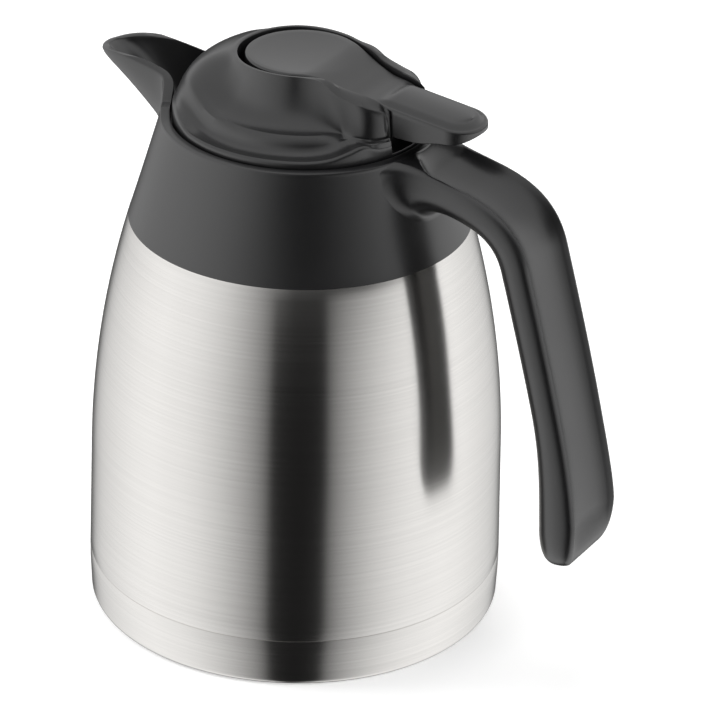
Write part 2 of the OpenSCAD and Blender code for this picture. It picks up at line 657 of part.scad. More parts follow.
module stem_seal() {
    color(white) difference() {
        cylinder_at(stem_r + 1.45, cover_z + 0.4, boss_top_z - 0.1);
        cylinder_at(stem_r + stem_fit, cover_z, boss_top_z + 1);
    }
}

module cross_pin() {
    color(steel) translate([0, 0, cross_pin_z]) rotate([90, 0, 0])
        cylinder(r = cross_pin_r, h = cross_pin_len, center = true);
}

// ---- lever ----

// Top and underside of the lever along x.
function lever_top(x) = let (fall = ease((x - 9) / 20), drop = (disc_z - tail_z) * 0.5)
    disc_z - drop * fall - (disc_z - tail_z - drop) * max(0, (x - 24) / (tail_x - 24));
function lever_low(x) = let (disc_low = disc_z - disc_t)
    x < tail_x - 8 ? lerp(disc_low, skirt_z, ease((x - 12) / 12))
        - 2 * ease((x - 33) / 7) * ease((tail_x - 8 - x) / 12)
    : skirt_z + 2.4 * pow((x - tail_x + 8) / 8, 2);
// Outline of the lever with its round end, shrunk by inset.
function lever_edge(x, inset) = let (c = tail_x - tail_hw * 0.85, e = tail_x - inset - c)
    x < c ? lever_half(x, -inset) : (tail_hw - inset) * sqrt(max(0, 1 - pow((x - c) / e, 2)));

lever_xs = [for (i = [0 : 44]) let (end = tail_x - 0.15)
    i < 14 ? -(disc_r - 0.05) * cos(i * 90 / 14)
    : i < 32 ? lerp(0, tail_x - tail_hw * 0.85, (i - 14) / 18)
    : let (c = tail_x - tail_hw * 0.85) c + (end - c) * sin((i - 32) * 90 / 12)];

module lever_slab() {
    round_edge = 0.9;
    rows = [for (x = lever_xs) let (
            w = lever_edge(x, 0),
            e = min(round_edge, w * 0.4),
            top = lever_top(x),
            low = min(lever_low(x), top - 2.2),
            crown = tail_crown * ease((x - 26) / 10))
        [[x, -w, low], [x, w, low], [x, w, top - e], [x, w - e * 0.3, top - e * 0.3], [x, w - e, top],
            [x, w * 0.45, top + crown * 0.8 * (w > 2 ? 1 : 0)], [x, 0, top + crown * (w > 2 ? 1 : 0)],
            [x, -w * 0.45, top + crown * 0.8 * (w > 2 ? 1 : 0)],
            [x, e - w, top], [x, e * 0.3 - w, top - e * 0.3], [x, -w, top - e]]];
    skin(rows);
}

module lever_hollow() {
    wall = 2.2;
    xs = [for (i = [0 : 10]) lerp(pivot_x + pivot_r + wall, tail_x - tail_hw - 2, i / 10)];
    skin([for (x = xs) let (w = lever_edge(x, wall), top = lever_top(x) - wall)
        [[x, -w, skirt_z - 1], [x, w, skirt_z - 1], [x, w, top - 1], [x, w - 1, top], [x, 1 - w, top],
            [x, -w, top - 1]]]);
}

module lever() {
    ear_in = stem_r + small_gap + 0.4;
    ear_t = 2;
    slot = 0.8;
    color(black) difference() {
        union() {
            difference() {
                lever_slab();
                lever_hollow();
            }
            // Ears that lift the cross pin
            for (side = [-1, 1])
                translate([0, side * (ear_in + ear_t / 2), cross_pin_z]) rotate([90, 0, 0]) union() {
                    cylinder(r = cross_pin_r + 2, h = ear_t, center = true);
                    translate([-cross_pin_r - 2, 0, -ear_t / 2])
                        cube([2 * cross_pin_r + 4, disc_z - disc_t + 0.3 - cross_pin_z, ear_t]);
                }
        }
        // Slots let the pin stay on the axis while the lever rocks
        for (x = [-slot, slot])
            translate([x, 0, cross_pin_z]) rotate([90, 0, 0])
                cylinder(r = cross_pin_r + 0.1, h = 30, center = true);
        translate([-slot, -15, cross_pin_z - cross_pin_r - 0.1]) cube([2 * slot, 30, 2 * cross_pin_r + 0.2]);
        translate([pivot_x, 0, pivot_z]) rotate([90, 0, 0])
            cylinder(r = pivot_r + pivot_fit, h = 60, center = true);
    }
}

module lever_pin() {
    color(steel) translate([pivot_x, 0, pivot_z]) rotate([90, 0, 0])
        cylinder(r = pivot_r, h = pivot_len, center = true);
}

outer_shell();
base_cup();
inner_liner();
radiation_foil();
getter();
seal_cap();
neck_gasket();
shoulder();
throat_ring();
stopper();
stopper_seal();
lid_cover();
valve_head();
valve_washer();
valve_stem();
valve_spring();
stem_seal();
cross_pin();
lever();
lever_pin();
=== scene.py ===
import bpy
import math
from mathutils import Matrix, Vector


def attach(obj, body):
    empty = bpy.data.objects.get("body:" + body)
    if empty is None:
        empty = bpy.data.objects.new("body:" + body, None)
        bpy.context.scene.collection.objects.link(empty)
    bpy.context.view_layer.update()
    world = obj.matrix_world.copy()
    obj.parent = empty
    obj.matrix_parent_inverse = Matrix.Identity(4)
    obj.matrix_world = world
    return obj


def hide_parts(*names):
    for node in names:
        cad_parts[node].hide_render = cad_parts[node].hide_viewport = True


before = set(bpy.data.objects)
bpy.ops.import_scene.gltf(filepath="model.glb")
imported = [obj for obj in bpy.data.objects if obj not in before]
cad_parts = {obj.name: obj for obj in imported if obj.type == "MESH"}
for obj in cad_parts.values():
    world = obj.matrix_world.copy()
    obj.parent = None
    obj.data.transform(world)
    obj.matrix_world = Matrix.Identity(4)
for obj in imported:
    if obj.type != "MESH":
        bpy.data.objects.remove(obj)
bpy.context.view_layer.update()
MM = 0.001

# ---- Camera ----
# The carafe is seen from its side and from above, somewhat from the handle's end, through a long
# lens that keeps its upright lines nearly parallel.
CAMERA_AT = Vector((644.0, -1070.6, 728.5)) * MM
CAMERA_PITCH = math.radians(27.16)
CAMERA_HEADING = math.radians(30.2)
CAMERA_ROLL = math.radians(1.375)
LENS_MM = 216.4
SENSOR_MM = 36

camera_data = bpy.data.cameras.new("camera")
camera_data.lens = LENS_MM
camera_data.sensor_width = SENSOR_MM
camera = bpy.data.objects.new("camera", camera_data)
bpy.context.scene.collection.objects.link(camera)
camera.location = CAMERA_AT
camera.rotation_euler = (Matrix.Rotation(CAMERA_HEADING, 3, "Z")
                         @ Matrix.Rotation(math.radians(90) - CAMERA_PITCH, 3, "X")
                         @ Matrix.Rotation(CAMERA_ROLL, 3, "Z")).to_euler()
bpy.context.scene.camera = camera


# ---- Base cup and outer shell ----
# Two pieces of stainless steel sheet, the shell drawn and the cup pressed, welded together at a
# hairline seam. The outside is brushed round the axis with a fine belt, so it mirrors what stands
# near it with a slight blur and shows thin lines along the turn.

def linear(hex_colour):
    """sRGB hex colour as linear RGBA."""
    parts = [int(hex_colour[i:i + 2], 16) / 255 for i in (1, 3, 5)]
    return tuple(p / 12.92 if p <= 0.04045 else ((p + 0.055) / 1.055) ** 2.4 for p in parts) + (1,)


def add(tree, kind, inputs=None, **settings):
    """One shader node with its settings; an input is a value or another node's output."""
    new = tree.nodes.new("ShaderNode" + kind)
    for key, value in settings.items():
        setattr(new, key, value)
    for key, value in (inputs or {}).items():
        if isinstance(value, bpy.types.NodeSocket):
            tree.links.new(value, new.inputs[key])
        else:
            new.inputs[key].default_value = value
    return new


def new_material(name):
    """An empty material, its node tree and its output."""
    material = bpy.data.materials.new(name)
    material.use_nodes = True
    material.node_tree.nodes.clear()
    return material, material.node_tree, add(material.node_tree, "OutputMaterial")


SIDES = 256
SHARP_TURN = math.radians(35)


def turned(name, profile):
    """A round piece drawn ring by ring from its profile of radius and height in millimetres."""
    bpy.ops.object.select_all(action="DESELECT")
    radius, height = profile[0]
    bpy.ops.mesh.primitive_circle_add(vertices=SIDES, radius=radius * MM,
                                      location=(0, 0, height * MM))
    piece = bpy.context.object
    piece.name = name
    bpy.ops.object.transform_apply(location=True, rotation=False, scale=False)
    bpy.ops.object.mode_set(mode="EDIT")
    bpy.ops.mesh.select_all(action="SELECT")
    for next_radius, next_height in profile[1:]:
        bpy.ops.mesh.extrude_region_move(
            TRANSFORM_OT_translate={"value": (0, 0, (next_height - height) * MM)})
        grow = next_radius / radius
        bpy.ops.transform.resize(value=(grow, grow, 1), center_override=(0, 0, 0))
        radius, height = next_radius, next_height
    bpy.ops.mesh.select_all(action="SELECT")
    bpy.ops.mesh.remove_doubles(threshold=0.01 * MM)
    bpy.ops.mesh.normals_make_consistent(inside=False)
    bpy.ops.object.mode_set(mode="OBJECT")
    bpy.ops.object.shade_smooth_by_angle(angle=SHARP_TURN)
    return piece


def dress(piece, material, body, node):
    """Gives a finished piece its material and its body, and hides the node that it stands for."""
    piece.data.materials.clear()
    piece.data.materials.append(material)
    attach(piece, body)
    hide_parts(node)


# Sizes of the flask in millimetres, as in the solids.
BODY_R = 69.1
BASE_H = 17.0
TAPER_Z = 57.0
TAPER_R = 307.0
WALL_DRAFT = 0.018
SHOULDER_Z = 138.0
SHEET = 0.8
SEAM_DEPTH = 0.25
SEAM_Z = BASE_H - 0.02


def body_radius(z):
    """Outer radius of the flask: a drafted wall, then a long tangent arc."""
    if z < TAPER_Z:
        return BODY_R - (z - BASE_H) * WALL_DRAFT
    arc = math.sqrt(TAPER_R ** 2 - (z - TAPER_Z) ** 2) - TAPER_R
    return BODY_R - (TAPER_Z - BASE_H) * WALL_DRAFT - (z - TAPER_Z) * WALL_DRAFT + arc


# Stainless steel 1.4301 with a belt-brushed finish: scratches run round the axis, so reflections
# stay sharp round the body and smear up and down it. The scratches are drawn about 0.5 mm apart,
# several times coarser than real ones, so that they show.
steel, tree, out = new_material("brushed_stainless_steel")
place = add(tree, "TexCoord").outputs["Object"]
lines = add(tree, "Mapping", {"Vector": place, "Scale": (14, 14, 2100)})
fine = add(tree, "TexNoise", {"Vector": lines.outputs[0], "Scale": 1, "Detail": 3,
                              "Roughness": 0.65})
wide_lines = add(tree, "Mapping", {"Vector": place, "Scale": (5, 5, 1500)})
wide = add(tree, "TexNoise", {"Vector": wide_lines.outputs[0], "Scale": 1, "Detail": 2})
cloud = add(tree, "TexNoise", {"Vector": place, "Scale": 18, "Detail": 2})
both = add(tree, "Math", {0: fine.outputs[0], 1: wide.outputs[0]}, operation="ADD")
tone = add(tree, "MapRange", {"Value": both.outputs[0], "From Min": 0.65, "From Max": 1.35})
colour = add(tree, "Mix", {"Factor": tone.outputs[0], 6: linear("#e0dedb"), 7: linear("#e9e7e4")},
             data_type="RGBA")
rough = add(tree, "MapRange", {"Value": fine.outputs[0], "From Min": 0.25, "From Max": 0.75,
                               "To Min": 0.19, "To Max": 0.22})
rough_cloud = add(tree, "MapRange", {"Value": cloud.outputs[0], "From Min": 0.3, "From Max": 0.7,
                                     "To Min": -0.005, "To Max": 0.005})
rough_all = add(tree, "Math", {0: rough.outputs[0], 1: rough_cloud.outputs[0]}, operation="ADD")
scratches = add(tree, "Bump", {"Strength": 0.015, "Distance": 0.00002, "Height": both.outputs[0]})
turn = add(tree, "Tangent", direction_type="RADIAL", axis="Z")
shader = add(tree, "BsdfPrincipled", {
    "Base Color": colour.outputs[2], "Metallic": 1, "Roughness": rough_all.outputs[0],
    "Anisotropic": 0.75, "Anisotropic Rotation": 0.25, "Tangent": turn.outputs[0],
    "Normal": scratches.outputs[0]})
tree.links.new(shader.outputs[0], out.inputs[0])

WALL_STEPS = 40
wall = [TAPER_Z + (SHOULDER_Z - TAPER_Z) * i / WALL_STEPS for i in range(WALL_STEPS + 1)]
shell_outside = [(BODY_R - SEAM_DEPTH, SEAM_Z), (BODY_R - 0.06, BASE_H + 0.08),
                 (BODY_R, BASE_H + 0.35)]
shell_outside += [(body_radius(z), z) for z in (22, 30, 38, 46, 52)]
shell_outside += [(body_radius(z), z) for z in wall[:-1]]
lip = body_radius(SHOULDER_Z)
shell_outside += [(lip + 0.02, SHOULDER_Z - 0.5), (lip - 0.12, SHOULDER_Z - 0.15),
                  (lip - 0.45, SHOULDER_Z)]
shell_fold = [(lip - 1.9, SHOULDER_Z), (lip - 2.8, SHOULDER_Z - 0.4), (lip - 2.0, SHOULDER_Z - 1.4)]
shell_inside = [(body_radius(z) - SHEET, z) for z in reversed(wall[:-1])]
shell_inside.append((BODY_R - SHEET, SEAM_Z))
outer_shell = turned("outer_shell_brushed",
                     shell_outside + shell_fold + shell_inside + shell_outside[:1])
dress(outer_shell, steel, "flask", "outer_shell")

# The hole in the middle is where the flask is pumped out; the seal cap covers it.
FOOT_INSET = 0.4
FOOT_ROUND = 2.4
RECESS_R = 58.0
RECESS_H = 3.0
VENT_R = 0.4
foot = []
for degrees in range(-90, 1, 9):
    a = math.radians(degrees)
    foot.append((BODY_R - FOOT_INSET - FOOT_ROUND + FOOT_ROUND * math.cos(a),
                 FOOT_ROUND + FOOT_ROUND * math.sin(a)))
cup_outside = [(VENT_R, RECESS_H), (RECESS_R - 3, RECESS_H), (RECESS_R - 0.6, 0.2), (RECESS_R, 0)]
cup_outside += foot + [(BODY_R - 0.15, 8), (BODY_R, 12), (BODY_R, BASE_H - 0.4),
                       (BODY_R - 0.06, BASE_H - 0.12), (BODY_R - SEAM_DEPTH, SEAM_Z)]
cup_inside = [(BODY_R - SHEET, SEAM_Z), (BODY_R - SHEET, 6), (RECESS_R + 4, SHEET),
              (RECESS_R + 0.4, SHEET), (RECESS_R - 2.6, RECESS_H + SHEET),
              (VENT_R, RECESS_H + SHEET)]
base_cup = turned("base_cup_brushed", cup_outside + cup_inside + cup_outside[:1])
dress(base_cup, steel, "flask", "base_cup")

# ---- Shoulder with spout and handle ----
# One moulding in glass-filled polypropylene: a collar that clips over the shell's fold, an open
# spout drawn out of its front and an open handle that leaves its back. The collar and the spout
# are one skin round the axis; the handle's root flares until it runs into the collar.

# Polypropylene from a finely etched mould: satin black, its gloss slightly uneven where hands have
# touched it. The grain is drawn at 0.45 mm, coarser than real etching, so that it shows close up.
plastic, tree, out = new_material("satin_black_polypropylene")
place = add(tree, "TexCoord").outputs["Object"]
grain = add(tree, "TexNoise", {"Vector": place, "Scale": 2200, "Detail": 2, "Roughness": 0.6})
patches = add(tree, "TexNoise", {"Vector": place, "Scale": 45, "Detail": 3})
tone = add(tree, "Mix", {"Factor": patches.outputs[0], 6: linear("#151516"), 7: linear("#1a1a1b")},
           data_type="RGBA")
rough = add(tree, "MapRange", {"Value": patches.outputs[0], "From Min": 0.3, "From Max": 0.7,
                               "To Min": 0.28, "To Max": 0.33})
bump = add(tree, "Bump", {"Strength": 0.15, "Distance": 0.00003, "Height": grain.outputs[0]})
shader = add(tree, "BsdfPrincipled", {"Base Color": tone.outputs[2], "Roughness": rough.outputs[0],
                                      "IOR": 1.53, "Specular IOR Level": 1.0,
                                      "Normal": bump.outputs[0]})
tree.links.new(shader.outputs[0], out.inputs[0])

CREASE = math.radians(32)


def skinned(name, rows):
    """A skin over closed rows of points in millimetres: a grid laid over them and sewn up."""
    rows = [row + row[:1] for row in rows]
    bpy.ops.object.select_all(action="DESELECT")
    bpy.ops.mesh.primitive_grid_add(x_subdivisions=len(rows[0]) - 1,
                                    y_subdivisions=len(rows) - 1, size=1)
    piece = bpy.context.object
    piece.name = name
    for vertex, point in zip(piece.data.vertices, (p for row in rows for p in row)):
        vertex.co = Vector(point) * MM
    bpy.ops.object.mode_set(mode="EDIT")
    bpy.ops.mesh.select_all(action="SELECT")
    bpy.ops.mesh.remove_doubles(threshold=0.004 * MM)
    bpy.ops.mesh.normals_make_consistent(inside=False)
    bpy.ops.object.mode_set(mode="OBJECT")
    bpy.ops.object.shade_smooth_by_angle(angle=CREASE)
    return piece


def joined(*parts):
    """Several shapes of one moulding as one object, named after the first."""
    bpy.ops.object.select_all(action="DESELECT")
    for part in parts:
        part.select_set(True)
    bpy.context.view_layer.objects.active = parts[0]
    bpy.ops.object.join()
    return parts[0]


def lerp(a, b, t):
    """The value a share t of the way from a to b."""
    return a + (b - a) * t


def ease(t):
    """A share from 0 to 1 that starts and ends level."""
    t = max(0.0, min(1.0, t))
    return t * t * (3 - 2 * t)


def along(stops, x):
    """Value at x on a smooth line through stops of (x, value)."""
    if x <= stops[0][0]:
        return stops[0][1]
    if x >= stops[-1][0]:
        return stops[-1][1]
    k = max(i for i, stop in enumerate(stops) if stop[0] <= x)

    def slope(i):
        low, high = stops[max(i - 1, 0)], stops[min(i + 1, len(stops) - 1)]
        flat = i in (0, len(stops) - 1) or (stops[i][1] - low[1]) * (high[1] - stops[i][1]) <= 0
        return 0.0 if flat else (high[1] - low[1]) / (high[0] - low[0])
    (x0, y0), (x1, y1) = stops[k], stops[k + 1]
    t, wide = (x - x0) / (x1 - x0), x1 - x0
    return (y0 * (1 + 2 * t) * (1 - t) ** 2 + y1 * t * t * (3 - 2 * t)
            + wide * (slope(k) * t * (1 - t) ** 2 - slope(k + 1) * t * t * (1 - t)))


def swell(a, b, k):
    """The larger of two radii, rounded over k where they meet."""
    h = max(k - abs(a - b), 0) / k
    return max(a, b) + h * h * k / 4


HALVINGS = 14


def halved(test, low, high):
    """The largest value between low and high for which test holds, found by halving."""
    for _ in range(HALVINGS):
        middle = (low + high) / 2
        low, high = (middle, high) if test(middle) else (low, middle)
    return low


def curve(points, t):
    """Point at t on the Bezier curve of four points."""
    return tuple(a * (1 - t) ** 3 + 3 * b * t * (1 - t) ** 2 + 3 * c * t * t * (1 - t) + d * t ** 3
                 for a, b, c, d in zip(*points))


RIM_Z = 173.2
RIM_R = 45.7
MOUTH_R = 42.5
NECK_R = 29.7
FLOOR_TOP = 160.8
FLOOR_LOW = 158.4
LEDGE_Z = 169.7
SPOUT_ROOT = 38.5
SPOUT_REACH = 75.6
SPOUT_HALF = 11.3
SPOUT_TOP_Z = 183.2
SPOUT_ROOT_Z = 178.3
SPOUT_LIP_Z = 180.0
SPOUT_WALL = 1.9
KEEL = ((SPOUT_ROOT, 150), (50, 155.5), (60, 172), (SPOUT_REACH, SPOUT_LIP_Z))


def collar_radius(z):
    """Outer radius of the collar: nearly a cone from the shell's lip to the rim."""
    if z >= RIM_Z:
        return RIM_R
    part = max(0.0, (z - SHOULDER_Z) / (RIM_Z - SHOULDER_Z)) ** 0.97
    return lerp(body_radius(SHOULDER_Z), RIM_R, part)


def spout_root(t):
    """How far a place along the spout is still in its root, where it widens and its rim dips."""
    return max(0.0, 1 - t / 0.2) ** 2


def spout_half(x, wall=0.0):
    """Half width of the spout's plan, or of its channel, at a distance from the axis."""
    t = max(0.0, min(1.0, (x - SPOUT_ROOT) / (SPOUT_REACH - wall - SPOUT_ROOT)))
    half = SPOUT_HALF + 2.4 * (1 - t) ** 4 + 3.8 * spout_root(t)
    half *= math.sqrt(max(0.0, 1 - t ** 5))
    return max(0.0, half - wall * min(1, (1 - t) * 20))


def spout_rim(x):
    """Height of the spout's rim, which climbs for two thirds of the way and dips to the lip."""
    t = max(0.0, min(1.0, (x - SPOUT_ROOT) / (SPOUT_REACH - 0.8 - SPOUT_ROOT)))
    return lerp(SPOUT_ROOT_Z, SPOUT_TOP_Z, 1 - (1 - t / 0.65) ** 2) - 3.5 * spout_root(t)


KEEL_STEPS = 120
KEEL_LINE = [curve(KEEL, i / KEEL_STEPS) for i in range(KEEL_STEPS + 1)]


def spout_keel(x):
    """Height of the spout's lowest line at a distance from the axis."""
    last = KEEL_STEPS - 1
    k = max(0, min(last, int(KEEL_STEPS * (x - SPOUT_ROOT) / (SPOUT_REACH - SPOUT_ROOT))))
    while k > 0 and KEEL_LINE[k][0] > x:
        k -= 1
    while k < last and KEEL_LINE[k + 1][0] < x:
        k += 1
    (x0, z0), (x1, z1) = KEEL_LINE[k], KEEL_LINE[k + 1]
    return lerp(z0, z1, max(0.0, min(1.0, (x - x0) / (x1 - x0))))


def spout_low(x, y, wall=0.0):
    """Height of the spout's underside, or of the floor inside it, at a place in plan."""
    half = spout_half(x, wall)
    top = spout_rim(x)
    if abs(y) >= half:
        return top
    low = spout_keel(x + wall * 0.7) + wall * 1.2
    power, bend = (4.5, 0.5) if wall else (2, 0.42)
    return min(top, top - (top - low) * (1 - (abs(y) / half) ** power) ** bend)


def spout_end(turn, wall=0.0):
    """Radius at which a direction, in radians from the spout's middle, leaves the spout's plan."""
    return halved(lambda r: r * math.sin(turn) <= spout_half(r * math.cos(turn), wall), 20,
                  (SPOUT_REACH - 0.1 - wall) / math.cos(turn))


def spout_radius(z, turn, end, wall=0.0):
    """How far out the spout reaches at a height in one direction."""
    return halved(lambda r: spout_low(r * math.cos(turn), r * math.sin(turn), wall) <= z, 20, end)


RAMP_START = math.radians(42)
RAMP_SPAN = math.radians(26)
RAMP_RISE = 7.0


def rim_height(turn):
    """The rim climbs from the level mouth to the spout."""
    if turn >= RAMP_START:
        return RIM_Z
    beside = RIM_Z + RAMP_RISE * ((RAMP_START - turn) / RAMP_SPAN) ** 1.7
    return min(spout_rim(spout_end(turn) * math.cos(turn)), beside)


# One column of points for each direction, close together round the spout: up the outside, over
# the rim, down the inside, in along the floor and back under it to the shell.
SPOUT_ZONE = math.radians(46)
SPOUT_FOOT_Z = 146
SPOUT_FLOOR_Z = 162
OUTER_FILLET = 5
INNER_FILLET = 1.2
RIM_FILLET = 0.6
RIM_LEAST = 1.7
OUTSIDE_STEPS = 46
INSIDE_STEPS = 26
fine_steps = [i * 0.45 for i in range(103)]
azimuths = ([180 - step for step in fine_steps] + [133.4 - 2 * i for i in range(1, 134)]
            + [step - 180 for step in reversed(fine_steps[1:])])
clip = collar_radius(FLOOR_LOW)
well = MOUTH_R - 2
columns = []
for azimuth in azimuths:
    turn = math.radians(180 - abs(azimuth))
    near_spout = turn < SPOUT_ZONE
    top = rim_height(turn)
    if near_spout:
        end, end_in = spout_end(turn), spout_end(turn, SPOUT_WALL)
    column = []
    for i in range(OUTSIDE_STEPS + 1):
        z = lerp(SHOULDER_Z, top - 0.9, (i / OUTSIDE_STEPS) ** 0.9)
        r = collar_radius(z)
        if near_spout and z > SPOUT_FOOT_Z:
            r = swell(r, spout_radius(z, turn, end), OUTER_FILLET)
        column.append((r, z))
    r_out = column[-1][0]
    mouth = MOUTH_R
    if near_spout:
        mouth = swell(MOUTH_R, spout_radius(top, turn, end_in, SPOUT_WALL), RIM_FILLET)
    mouth = min(mouth, r_out - RIM_LEAST)
    column += [(r_out - 0.06, top - 0.45), (r_out - 0.3, top - 0.12), (r_out - 0.75, top),
               (mouth + 0.55, top), (mouth + 0.18, top - 0.1), (mouth + 0.02, top - 0.35)]
    for i in range(INSIDE_STEPS + 1):
        z = lerp(top - 0.7, LEDGE_Z, i / INSIDE_STEPS)
        r = MOUTH_R
        if near_spout:
            r = min(swell(r, spout_radius(z, turn, end_in, SPOUT_WALL), INNER_FILLET), mouth)
        column.append((r, z))
    for r, z in ((well, LEDGE_Z - 0.02), (well, 167.5), (well, 165.5), (well, 163.8),
                 (well - 0.6, 162.4), (well - 1.6, 161.3), (well - 3, FLOOR_TOP)):
        if near_spout:
            reach = spout_radius(z, turn, end_in, SPOUT_WALL) if z > SPOUT_FLOOR_Z else 0
            r = swell(r, reach, INNER_FILLET)
        column.append((r, z))
    column += [(NECK_R, FLOOR_TOP), (NECK_R - 0.2, FLOOR_TOP - 0.3), (NECK_R - 0.2, FLOOR_LOW),
               (clip - 4.5, FLOOR_LOW), (clip - 2.5, FLOOR_LOW - 3), (lip - 3.1, SHOULDER_Z + 1),
               (lip - 1.6, SHOULDER_Z)]
    a = math.radians(azimuth)
    columns.append([(r * math.cos(a), r * math.sin(a), z) for r, z in column])
rows = [[column[k] for column in columns] for k in range(len(columns[0]))]
collar = skinned("shoulder_moulding", rows + rows[:1])

# The handle's section follows a line down the middle of its back, between two crests.
HANDLE_W = 15.1
CREST_V = 12.65
HANDLE_T = 11.5
HANDLE_FOOT_T = 14.6
HANDLE_REACH = 112.6
FOOT_Z = 60.0
FOOT_LEN = 16.5
FOOT_FLARE = 0.07
BEND = (91.8, 145.3)
ARCH = ((40.5, 170), (70.8, 170), (86.8, 164.3), BEND)
GRIP = (BEND, (98.4, 123), (111.2, 78), (HANDLE_REACH, FOOT_Z))
ARCH_SHARE = 0.4


def crest(s):
    """Point (x, z) at a share s of the handle's line, from the collar over the bend to the foot."""
    if s < ARCH_SHARE:
        return curve(ARCH, s / ARCH_SHARE)
    return curve(GRIP, min(1, (s - ARCH_SHARE) / (1 - ARCH_SHARE)))


def crest_way(s):
    """Direction of the handle's line at s."""
    x0, z0 = crest(max(s - 0.004, 0))
    x1, z1 = crest(min(s + 0.004, 1))
    length = math.hypot(x1 - x0, z1 - z0)
    return (x1 - x0) / length, (z1 - z0) / length


TROUGH = 4.7
TROUGH_START = 44.0
TROUGH_OPENS = 10.0
TROUGH_SINKS = 9.0
TROUGH_LINE = ((0, 1), (0.3, 0.95), (0.5, 0.85), (0.65, 0.72), (0.76, 0.56), (0.85, 0.37),
               (0.92, 0.17), (0.97, 0.05), (1, 0))


def trough_share(x, v):
    """How far the trough in the handle's back is sunk at a place; it starts round at the rim."""
    reach = CREST_V * math.sqrt(max(0.0001, min(1.0, (x - TROUGH_START) / TROUGH_OPENS)))
    return along(TROUGH_LINE, abs(v) / reach) * ease((x - TROUGH_START) / TROUGH_SINKS)


def handle_outline(half, thick):
    """The handle's section as (side, depth below the back), round from the inner face's middle."""
    broader, thicker = half / HANDLE_W, thick / HANDLE_T
    line = [(0, HANDLE_T), (4.5, HANDLE_T), (8.5, 11.3), (11.5, 10.7), (13.6, 9.5), (14.7, 7.7),
            (HANDLE_W, 5.6), (14.95, 3.5), (14.5, 1.8), (13.75, 0.6), (CREST_V, 0), (12, 0),
            (11.4, 0), (10.8, 0), (10.1, 0), (9, 0), (7, 0), (4, 0), (0, 0)]
    line = [(v * broader, d * thicker) for v, d in line]
    return line + [(-v, d) for v, d in reversed(line[1:-1])]


RING_PARTS = 3


def smooth_ring(points):
    """A closed line through the points, rounded between them."""
    n = len(points)
    line = []
    for i in range(n):
        near = points[i - 1], points[i], points[(i + 1) % n], points[(i + 2) % n]
        for k in range(RING_PARTS):
            t = k / RING_PARTS
            line.append(tuple(
                0.5 * (2 * q + (r - p) * t + (2 * p - 5 * q + 4 * r - u) * t * t
                       + (3 * q - p - 3 * r + u) * t ** 3) for p, q, r, u in zip(*near)))
    return line


def handle_ring(outline, lay, way, deep=TROUGH, wide=1.0):
    """A ring of the handle, laid out by a function of side and depth, its trough pressed in."""
    ring = []
    for x, y, z, v, on_back in smooth_ring([lay(v, d) + (v, float(d == 0)) for v, d in outline]):
        in_trough = abs(v) <= CREST_V * wide and on_back > 0.5
        sunk = deep * trough_share(x, y / wide) if in_trough else 0.0
        ring.append((x + sunk * way[1], y, z - sunk * way[0]))
    return ring


ROOT_S = 0.135
STATIONS = 60
stations = []
for i in range(STATIONS + 1):
    s = lerp(ROOT_S, 1, i / STATIONS)
    thick = lerp(HANDLE_T, HANDLE_FOOT_T, ease((s - 0.7) / 0.3))
    wide = 1 + FOOT_FLARE * ease((s - 0.75) / 0.25)
    (x, z), way = crest(s), crest_way(s)
    outline = handle_outline(HANDLE_W * wide, thick)
    stations.append(handle_ring(
        outline, lambda v, d: (x + d * way[1], v, z - d * way[0]), way, TROUGH, wide))

# The foot closes in a rounded end, where the trough runs out.
way = crest_way(1)
for degrees in (4, 9, 15, 22, 29, 36, 43, 50, 57, 64, 70, 76, 81, 85, 88):
    a = math.radians(degrees)
    thick = HANDLE_FOOT_T * lerp(0.05, 1, math.cos(a) ** 0.7)
    wide = (1 + FOOT_FLARE) * math.cos(a) ** 0.38
    drop = FOOT_LEN * math.sin(a)
    x, z = HANDLE_REACH - (HANDLE_FOOT_T - thick) / 2, FOOT_Z - drop
    deep = TROUGH * ease((11.5 - drop) / 9) * math.cos(a)
    outline = handle_outline(HANDLE_W * wide, thick)
    stations.append(handle_ring(
        outline, lambda v, d: (x + d * way[1], v, z - d * way[0]), way, deep, wide))
tip = [sum(p[k] for p in stations[-1]) / len(stations[-1]) for k in range(3)]
stations.append([(tip[0], tip[1], tip[2] - 0.1)] * len(stations[-1]))

# The root: each point of the first ring runs back in a curve that lands on the collar.
root_x, root_z = crest(ROOT_S)
root_way = crest_way(ROOT_S)
back = Vector((root_way[0], 0, root_way[1]))
COLLAR_LEAN = -0.29
LAND_LOW_Z = 150.5
LAND_TOP_R = 44.6
LAND_TOP_TURN = 29
LAND_LOW_TURN = 14
ROOT_STEPS = 44


def root_point(v, d, along_root):
    """A point of the root at a share along it, for a place in the handle's section."""
    depth = d / HANDLE_T
    spread = v / HANDLE_W
    land_z = lerp(RIM_Z - 0.15, LAND_LOW_Z, depth ** 0.9) if depth else RIM_Z - 0.1
    land_a = math.radians(spread * lerp(LAND_TOP_TURN, LAND_LOW_TURN, depth ** 2))
    land_r = collar_radius(land_z) - 0.05 if depth else LAND_TOP_R
    land = Vector((land_r * math.cos(land_a), land_r * math.sin(land_a), land_z))
    outward = Vector((math.cos(land_a), math.sin(land_a), 0))
    sideways = Vector((math.sin(abs(land_a)), -math.cos(land_a) * (1 if v > 0 else -1), 0))
    upward = (outward * COLLAR_LEAN + Vector((0, 0, 1))).normalized()
    start = sideways * abs(spread) * (1.2 - depth) + upward * depth * 1.2
    start += outward * (1 - abs(spread)) * (1 - depth) ** 4
    start = start.normalized() if start.length > 0 else outward
    end = Vector((root_x + d * root_way[1], v, root_z - d * root_way[0]))
    reach = (end - land).length
    return curve((land, land + start * reach * 0.36, end - back * reach * 0.45, end), along_root)


